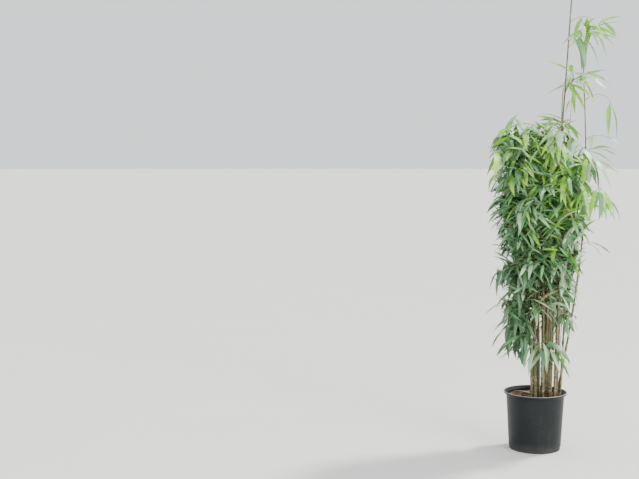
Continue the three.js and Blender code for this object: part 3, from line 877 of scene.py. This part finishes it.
def caneFinish():
    finish = Finish("caneWood")
    tone, streaks = finish.attribute("tone"), finish.noise((260, 260, 9))
    aged = (finish.noise((7, 7, 3), 2) + tone * 0.3).band(0.46, 0.8)
    body = finish.coated(
        finish.mix(tone, (0.08, 0.11, 0.04), (0.13, 0.132, 0.048)),
        (aged, finish.mix(tone, (0.205, 0.16, 0.08), (0.14, 0.105, 0.052))),
        (streaks.band(0.45, 0.8) * 0.5, (0.16, 0.1, 0.05)),
        (finish.attribute("bloom") * 0.5, (0.34, 0.34, 0.28)),
        (finish.attribute("groove") * 0.8, (0.09, 0.055, 0.03)))
    return finish.to(Base_Color=body, Roughness=0.36 + streaks * 0.2, Normal=finish.bump(streaks, 0.25, 0.0006))


def sheathFinish():
    finish = Finish("paperySheath")
    fibres = finish.noise((420, 420, 14), 4)
    body = finish.coated(
        finish.mix(finish.attribute("tone"), (0.26, 0.21, 0.115), (0.175, 0.13, 0.062)),
        (fibres.band(0.4, 0.75) * 0.55, (0.2, 0.115, 0.05)),
        (finish.noise((40, 40, 18)).band(0.55, 0.8) * 0.6, (0.17, 0.105, 0.055)),
        (finish.attribute("run").band(0.8, 1.0) * 0.5, (0.42, 0.36, 0.25)))
    return finish.to(Base_Color=body, Roughness=0.5 + fibres * 0.25, Normal=finish.bump(fibres, 0.4, 0.0008))


wood, sheaths = makeCanePieces()
placePiece(toMesh("jointedCanes", wood), caneFinish(), [limb.name for limb in limbs])
placePiece(toMesh("caneSheaths", sheaths), sheathFinish())
print("canes and sheaths made")


twigJoint = (-2.5, 1), (0, 1.25), (2.5, 1)  # how far from the joint, how wide


def rodSteps(rod, count, tone):
    steps = []
    for i in range(count + 1):
        distance = rod.length * i / count
        rings = twigJoint if 0 < i < count else [(0, 1)]
        steps += [stepAt(rod, distance + away, rod.radiusAt(distance) * swell, tone=tone) for away, swell in rings]
    return steps


def makeTwigPiece():
    random, bm = Chance(finer.seed - 1), bmesh.new()
    # each rod with its sides and the lengths that it has between joints
    rods = [(twig, 5, 3) for twig in sideTwigs] + [(twig, 6, 5) for twig in reachingTwigs]
    rods += [(rod, 7, 8) for rod in shoots]
    for stem in stems:
        rods += [(stem, 8, 4)] + [(twig, 6, 3) for twig in stem.twigs] + [(twig, 5, 2) for twig in stem.finerTwigs]
    for rod, sides, count in rods:
        joinInto(bm, growTube(rod, rodSteps(rod, count, random()), sides))
    return bm


# two colours by tone, a third one along the grain; also the finish of the bark chips
def barkFinish(name, roughness, scale, first, second, third, low, high, share, strength, depth):
    finish = Finish(name, Roughness=roughness)
    grain = finish.noise(scale)
    body = finish.coated(finish.mix(finish.attribute("tone"), first, second),
                         (grain.band(low, high) * share, third))
    return finish.to(Base_Color=body, Normal=finish.bump(grain, strength, depth))


twigBark = barkFinish("twigBark", 0.5, (300, 300, 60), (0.14, 0.21, 0.07), (0.28, 0.24, 0.12), (0.14, 0.09, 0.04),
                      0.45, 0.8, 0.4, 0.2, 0.0004)
foliageNodes = [stem.plan.name for stem in stems]
placePiece(toMesh("twigs", makeTwigPiece()), twigBark, foliageNodes)
print("twigs made")


# one flat pointed leaf, two squares across: every leaf of the plant is this one, carried to its own place
leafShape = Values(
    rows=(0, 0.035, 0.1, 0.2, 0.34, 0.5, 0.66, 0.8, 0.92, 1),
    widths=(0.05, 0.13, 0.5, 0.86, 1, 0.94, 0.75, 0.47, 0.2, 0.012),
    widthShare=(0.14, 0.205),  # of the length
    foldShare=0.09, foldMore=0.25,  # the edges' rise or fall beside the midrib, as a share of the half width
    sway=0.05, twist=46, twistFrom=0.25,
    lifeSize=(0.74, 0.98),  # of the source's leaves, which are larger because they are fewer
    seed=71,
)


def leafTemplate():
    rows, bm = len(leafShape.rows) - 1, bmesh.new()
    bmesh.ops.create_grid(bm, x_segments=2, y_segments=rows, size=1)
    across = np.array([[round(vert.co.x)] for vert in bm.verts], float)
    row = [round((vert.co.y + 1) / 2 * rows) for vert in bm.verts]
    faces = np.array([[vert.index for vert in face.verts] for face in bm.faces])
    bm.free()
    return across, row, faces


def makeLeafPiece(name, leaves, material, nodes=()):
    across, row, faces = leafTemplate()
    share, width = (np.array(leafShape[key])[row][:, None] for key in ("rows", "widths"))
    random = Chance(leafShape.seed + len(leaves))
    verts, tones = [], []
    for leaf in leaves:
        length, side, up = leaf.length, leaf.side, leaf.up
        half = length * random(leafShape.widthShare) / 2
        rise = np.sin(pi * share**0.8) * leaf.arch * length
        sway = np.sin(pi * share) * random.off(2) * leafShape.sway * length
        turn = (share - leafShape.twistFrom) * random.off(2) * leafShape.twist * degrees
        sideways = np.cos(turn) * side + np.sin(turn) * up
        upward = np.cos(turn) * up - np.sin(turn) * side
        fold = -np.abs(across) * width * half * (leafShape.foldShare + leafShape.foldMore * random())
        verts.append(leaf.root + leaf.forward * (share * length) + side * sway + up * rise
                     + sideways * (across * width * half) + upward * fold)
        tones.append(random())
    count = len(row)
    mesh = bpy.data.meshes.new(name)
    allFaces = np.concatenate([faces + i * count for i in range(len(leaves))]).tolist()
    mesh.from_pydata((np.concatenate(verts) * mm).tolist(), [], allFaces)
    corner = faces.ravel()
    flat = np.hstack((across[corner] / 2 + 0.5, share[corner]))
    mesh.uv_layers.new(name="leafFlat").data.foreach_set("uv", np.tile(flat, (len(leaves), 1)).ravel())
    mesh.attributes.new("tone", "FLOAT", "POINT").data.foreach_set("value", np.repeat(tones, count))
    placePiece(mesh, material, nodes)


# two plain colours for each kind of leaf, and how rough it is; the first four kinds are one leaf in painted light:
# painted shade, plain green, painted backlight and painted sheen; the last kind is dry leaves
leafColours = {
    "deepLeaves": ((0.06, 0.145, 0.068), (0.125, 0.245, 0.108), 0.25),
    "greenLeaves": ((0.145, 0.37, 0.165), (0.245, 0.49, 0.205), 0.26),
    "brightLeaves": ((0.25, 0.6, 0.05), (0.43, 0.74, 0.11), 0.31),
    "paleLeaves": ((0.4, 0.62, 0.38), (0.62, 0.78, 0.55), 0.24),
    "dryLeaves": ((0.52, 0.43, 0.17), (0.42, 0.29, 0.13), 0.6),
}
fallenColours = (0.42, 0.31, 0.16), (0.25, 0.15, 0.08), 0.7


def leafFinish(name, first, second, rough):
    finish = Finish(name, IOR=1.45)
    flat, tone, blotch = finish.add("TexCoord", output="UV"), finish.attribute("tone"), finish.noise(28)
    across = abs(finish.axis(flat, "X") * 2 - 1)
    veins = finish.maths("SINE", across * 60) * 0.5 + 0.5
    midrib = 1 - across.band(0.03, 0.12)
    # dry brown leaf tips, real wear
    wornTipsAndPaintedLipHighlight = (finish.axis(flat, "Y") + tone * 0.06 + blotch * 0.05).band(1.0, 1.06)
    body = finish.mix(tone, first, second)
    shaded = finish.mix(0.4, body, (0.03, 0.08, 0.035))
    body = finish.coated(body, (blotch.band(0.35, 0.75) * 0.6, shaded), (veins * 0.16, shaded))
    light = finish.mix(0.5, body, (0.5, 0.66, 0.38))
    body = finish.coated(body, (midrib * 0.75, light), (wornTipsAndPaintedLipHighlight, (0.36, 0.24, 0.1)))
    bumps = finish.bump(veins * 0.4 + midrib, 0.35, 0.0008)
    return finish.to(Base_Color=body, Roughness=rough + blotch * 0.12, Normal=bumps)


# colours by spray, in painted light: how much light a spray shows in, from painted shade low on the left to painted
# backlight high on the right, and a share of leaves in painted sheen
sprayLight = Values(
    low=520, high=1750, left=-230, right=330, byHeight=0.62, byPlace=0.38, spread=0.5, greenFrom=0.38,
    brightFrom=0.66, dry=0.025, dryUpTo=150, pale=0.15, seed=17,
    own={"foliage_low_front": 0.55, "foliage_arching_side": 0.8, "foliage_arching_tip": 0.8})


def lightAt(place):
    up = (place[2] - sprayLight.low) / (sprayLight.high - sprayLight.low)
    right = (place[0] - sprayLight.left) / (sprayLight.right - sprayLight.left)
    return min(1, max(0, sprayLight.byHeight * up + sprayLight.byPlace * right))


# a leaf's colour kind: painted shade, green or painted backlight by the light of its spray, painted sheen for a
# share at random, dry for a few small ones
def kindOf(leaf, light, random):
    chance = random()
    if chance < sprayLight.dry and leaf.length < sprayLight.dryUpTo:
        return "dryLeaves"
    # a share of leaves in painted sheen, a whitish colour that stands for glints of light
    if chance < sprayLight.dry + sprayLight.pale:
        return "paleLeaves"
    shade = light + random.off(sprayLight.spread)
    if shade < sprayLight.greenFrom:
        return "deepLeaves"
    return "greenLeaves" if shade < sprayLight.brightFrom else "brightLeaves"


def sortLeaves():
    random = Chance(sprayLight.seed)
    kinds = {kind: [leaf for leaf in reachingLeaves if leaf.kind == kind] for kind in leafColours}
    lots = [(sprayLight.own.get(stem.plan.name, lightAt(stem.middle)),
             [Values(leaf, length=leaf.length * random(leafShape.lifeSize)) for leaf in stem.leaves]
             + stem.finerLeaves) for stem in stems]
    lots += [(lightAt(leaf.root), [leaf]) for leaf in tuftLeaves + sideLeaves]
    for light, leaves in lots:
        for leaf in leaves:
            kinds[kindOf(leaf, light, random)].append(leaf)
    return kinds


for kind, leaves in sortLeaves().items():
    makeLeafPiece(kind, leaves, leafFinish(kind, *leafColours[kind]), foliageNodes)
    print(kind, len(leaves))


pot = Values(
    height=300, rimRadius=162.5, shoulderRadius=148, baseRadius=132.5,
    footHeight=20, footInset=2.5, wall=3, floor=4, lipHeight=17,
    bead=3.2,  # radius of the lip's rolled edge
    edge=1.2,  # rounding of the other edges
    turns=128,
)


def wallRadius(height):
    slope = (pot.shoulderRadius - pot.baseRadius) / (pot.height - pot.lipHeight)
    return pot.baseRadius + slope * height


def potProfile():
    shoulder, bead, wall, floor = pot.height - pot.lipHeight, pot.bead, pot.wall, pot.floor
    foot, footTop = pot.baseRadius - pot.footInset, pot.footHeight
    roll = [around((pot.rimRadius - bead, pot.height - bead), turn, bead) for turn in np.linspace(0, pi, 9)]
    return [(0, 0), (foot - 2, 0), (foot, 2), (foot, footTop - 2), (wallRadius(footTop), footTop),
            (pot.shoulderRadius, shoulder), (pot.rimRadius - 2.5, shoulder + 6), *roll,
            (pot.shoulderRadius - wall, shoulder + 1), (wallRadius(floor) - wall, floor), (0, floor)]


def spinProfile(profile, turns):
    bm = bmesh.new()
    verts = [bm.verts.new((radius * mm, 0, height * mm)) for radius, height in profile]
    edges = [bm.edges.new(pair) for pair in zip(verts, verts[1:])]
    bmesh.ops.spin(bm, geom=verts + edges, cent=(0, 0, 0), axis=(0, 0, 1), dvec=(0, 0, 0),
                   angle=2 * pi, steps=turns, use_merge=True)
    bmesh.ops.remove_doubles(bm, verts=bm.verts, dist=1e-6)
    bmesh.ops.recalc_face_normals(bm, faces=bm.faces)
    return bm


def makePot():
    bm = spinProfile(potProfile(), pot.turns)
    sharp = [edge for edge in bm.edges if len(edge.link_faces) == 2 and edge.calc_face_angle() > 25 * degrees]
    bmesh.ops.bevel(bm, geom=sharp, offset=pot.edge * mm, affect="EDGES", segments=3, profile=0.5, material=-1)
    return bm


def potFinish():
    finish = Finish("mouldedPot", IOR=1.48, Specular_IOR_Level=0.2)
    height, clouds = finish.axis(finish.place, "Z"), finish.noise(9, 5, 0.6)
    runs = finish.noise((34, 34, 2.2), 4)  # rain marks down the wall
    scuffs = finish.noise((14, 14, 210), 3, 0.65)  # rubbing round the wall
    dusty = runs.band(0.5, 0.78) * 0.22
    scraped = scuffs.band(0.62, 0.72) * clouds.band(0.45, 0.7)
    splashed = (1 - (height + clouds * 0.05).band(0.02, 0.085)) * 0.55
    # painted highlight: a light band round the top of the lip's roll
    wornTipsAndPaintedLipHighlight = (height + clouds * 0.003).band(0.2982, 0.301) * 0.75
    body = finish.coated(
        finish.mix(clouds, (0.009, 0.011, 0.012), (0.017, 0.02, 0.021)),
        (dusty, (0.06, 0.064, 0.063)), (scraped * 0.4, (0.12, 0.125, 0.12)),
        (splashed, (0.085, 0.08, 0.07)), (wornTipsAndPaintedLipHighlight, (0.42, 0.42, 0.39)))
    rough = 0.4 + dusty * 0.4 + splashed * 0.35 + clouds * 0.12
    bumps = finish.noise(900, 2) * 0.3 + scraped * 0.5 + clouds * 0.4
    return finish.to(Base_Color=body, Roughness=rough, Normal=finish.bump(bumps, 0.3, 0.0006))


placePiece(toMesh("nurseryPot", makePot()), potFinish(), ["pot"])
print("pot made")


soil = Values(
    offWall=0.6, rings=34, turns=110,
    lumps=9, crumbs=2.6, lumpSize=46, crumbSize=9, flatEdge=14,  # how high and wide the lumps and crumbs are
    chips=620, chipLength=(5, 22), chipWidth=(0.25, 0.6), chipThickness=(0.1, 0.24), chipTilts=(0.9, 0.7), chipsIn=9,
    fallenLeaves=16, fallenLength=(70, 120), rootWithin=128, tipWithin=132, over=5,
    seed=23,
)


def soilRadius(height):
    return wallRadius(height) - pot.wall - soil.offWall


def soilHeight(x, y):
    lumps = noise.fractal(Vector((x / soil.lumpSize, y / soil.lumpSize, 3.1)), 1.0, 2.0, 3)
    crumbs = noise.fractal(Vector((x / soil.crumbSize, y / soil.crumbSize, 7.7)), 0.8, 2.0, 3)
    edge = min(1, max(0, (soilRadius(soilLevel) - hypot(x, y)) / soil.flatEdge))
    return soilLevel + edge * (soil.lumps * 0.5 * lumps + soil.crumbs * crumbs)


def makeSoil():
    bottom, top = pot.floor + gap, soilRadius(soilLevel)
    rings = [(top * i / soil.rings, soilLevel) for i in range(soil.rings + 1)]
    bm = spinProfile([*rings, (soilRadius(bottom), bottom), (0, bottom)], soil.turns)
    for vert in bm.verts:
        if vert.co.z > (soilLevel - 1) * mm:
            vert.co.z = soilHeight(vert.co.x / mm, vert.co.y / mm) * mm
    return bm


def soilFinish():
    finish = Finish("pottingMix", Roughness=0.95)
    fine, coarse = finish.noise(330, 5, 0.65), finish.noise(70, 4)
    body = finish.coated(finish.mix(coarse, (0.022, 0.014, 0.01), (0.06, 0.038, 0.025)),
                         (fine.band(0.56, 0.7) * 0.7, (0.115, 0.078, 0.05)))
    return finish.to(Base_Color=body, Normal=finish.bump(fine + coarse, 0.8, 0.003))


# bark chips: eight-cornered slivers in all directions, joined
def makeChips():
    random, bm = Chance(soil.seed), bmesh.new()
    tone = bm.verts.layers.float.new("tone")
    reach = soilRadius(soilLevel) - soil.chipsIn
    for i in range(soil.chips):
        out, turn = reach * sqrt(random()), 2 * pi * random()
        x, y = around((0, 0), turn, out)
        length = between(soil.chipLength, random() ** 2)
        size = (length, length * random(soil.chipWidth), length * random(soil.chipThickness))
        turned = Matrix.Rotation(2 * pi * random(), 4, "Z")
        for tilt, axis in zip(soil.chipTilts, "XY"):
            turned = turned @ Matrix.Rotation(random.off(tilt), 4, axis)
        spot = Matrix.Translation((x * mm, y * mm, (soilHeight(x, y) + size[2] * 0.5) * mm))
        made = bmesh.ops.create_cube(bm, size=mm, matrix=spot @ turned @ Matrix.Diagonal((*size, 1)))
        shade = random()
        for vert in made["verts"]:
            vert.co += Vector([random.off(1) for axis in "xyz"]) * size[2] * 0.7 * mm
            vert[tone] = shade
    return bm


# dead leaves lie flat on the soil, most of them on the bare side, left of the clump
def fallenLeaves():
    random, lying = Chance(soil.seed + 1), []
    for i in range(soil.fallenLeaves):
        x, y = -100 + 150 * random() ** 1.5, random.off(190)
        length, azimuth = random(soil.fallenLength), 2 * pi * random()
        tip = around((x, y), azimuth, length)
        if hypot(x, y) > soil.rootWithin or hypot(*tip) > soil.tipWithin:
            continue
        root = np.array((x, y, soilHeight(x, y) + soil.over + 3 * random()))
        rise = soilHeight(*tip) + soil.over - root[2]
        lying.append(makeBlade(root, azimuth, asin(rise / length), length, 0.01, random.off(0.3)))
    return lying


placePiece(toMesh("soilInPot", makeSoil()), soilFinish(), ["potting_soil"])
chipBark = barkFinish("barkChips", 0.85, 420, (0.045, 0.026, 0.016), (0.21, 0.125, 0.07), (0.03, 0.018, 0.012),
                      0.45, 0.7, 0.5, 0.5, 0.001)
placePiece(toMesh("barkOnSoil", makeChips()), chipBark, smooth=False)
makeLeafPiece("fallenLeaves", fallenLeaves(), leafFinish("fallenLeaf", *fallenColours))
print("soil and litter made")


# the photo's view: its frame, the height of the eye, and how far and where the plant stands in it
view = Values(width=639, focal=1080, sensor=36, eye=(0, -5.66, 1.472), down=3.95, turn=11.43)
studio = Values(
    air=(0.95, 0.98, 1.0), airStrength=1.3, floor=(0.78, 0.77, 0.74), floorRadius=400,
    lamps={  # kind, place, aim and settings
        "sunSide": ("SUN", (2.6, 2.2, 4.6), (0, 0, 0),
                    {"energy": 4.0, "angle": 9 * degrees, "color": (1.0, 0.98, 0.93)}),
        "frontFill": ("AREA", (3.4, -3.4, 2.6), (0, 0, 0.9),
                      {"energy": 170, "size": 2.4, "color": (0.98, 1.0, 0.98)}),
    },
)


def makeFloor():
    bm = bmesh.new()
    bmesh.ops.create_circle(bm, cap_ends=True, segments=96, radius=studio.floorRadius)
    finish = Finish("paleFloor", Roughness=0.85)
    colour = finish.mix(finish.noise(1.4), studio.floor, tuple(0.95 * part for part in studio.floor))
    mesh = toMesh("studioFloor", bm)
    mesh.materials.append(finish.to(Base_Color=colour))
    floor = addObject(mesh)


def makeLights():
    world = bpy.data.worlds.new("studioAir")
    world.use_nodes = True
    air = world.node_tree.nodes["Background"].inputs
    air["Color"].default_value = (*studio.air, 1)
    air["Strength"].default_value = studio.airStrength
    bpy.context.scene.world = world
    for name, (kind, place, aim, settings) in studio.lamps.items():
        lamp = bpy.data.lights.new(name, kind)
        for key, value in settings.items():
            setattr(lamp, key, value)
        holder = addObject(lamp)
        holder.location = place
        holder.rotation_euler = (Vector(aim) - Vector(place)).to_track_quat("-Z", "Y").to_euler()


def makeCamera():
    camera = bpy.data.cameras.new("photoView")
    camera.sensor_width = view.sensor
    camera.lens = view.focal / view.width * view.sensor
    camera.clip_end = 1000
    holder = addObject(camera)
    holder.location = view.eye
    holder.rotation_euler = ((90 - view.down) * degrees, 0, view.turn * degrees)
    bpy.context.scene.camera = holder


makeFloor()
makeLights()
makeCamera()
print("studio and camera set")
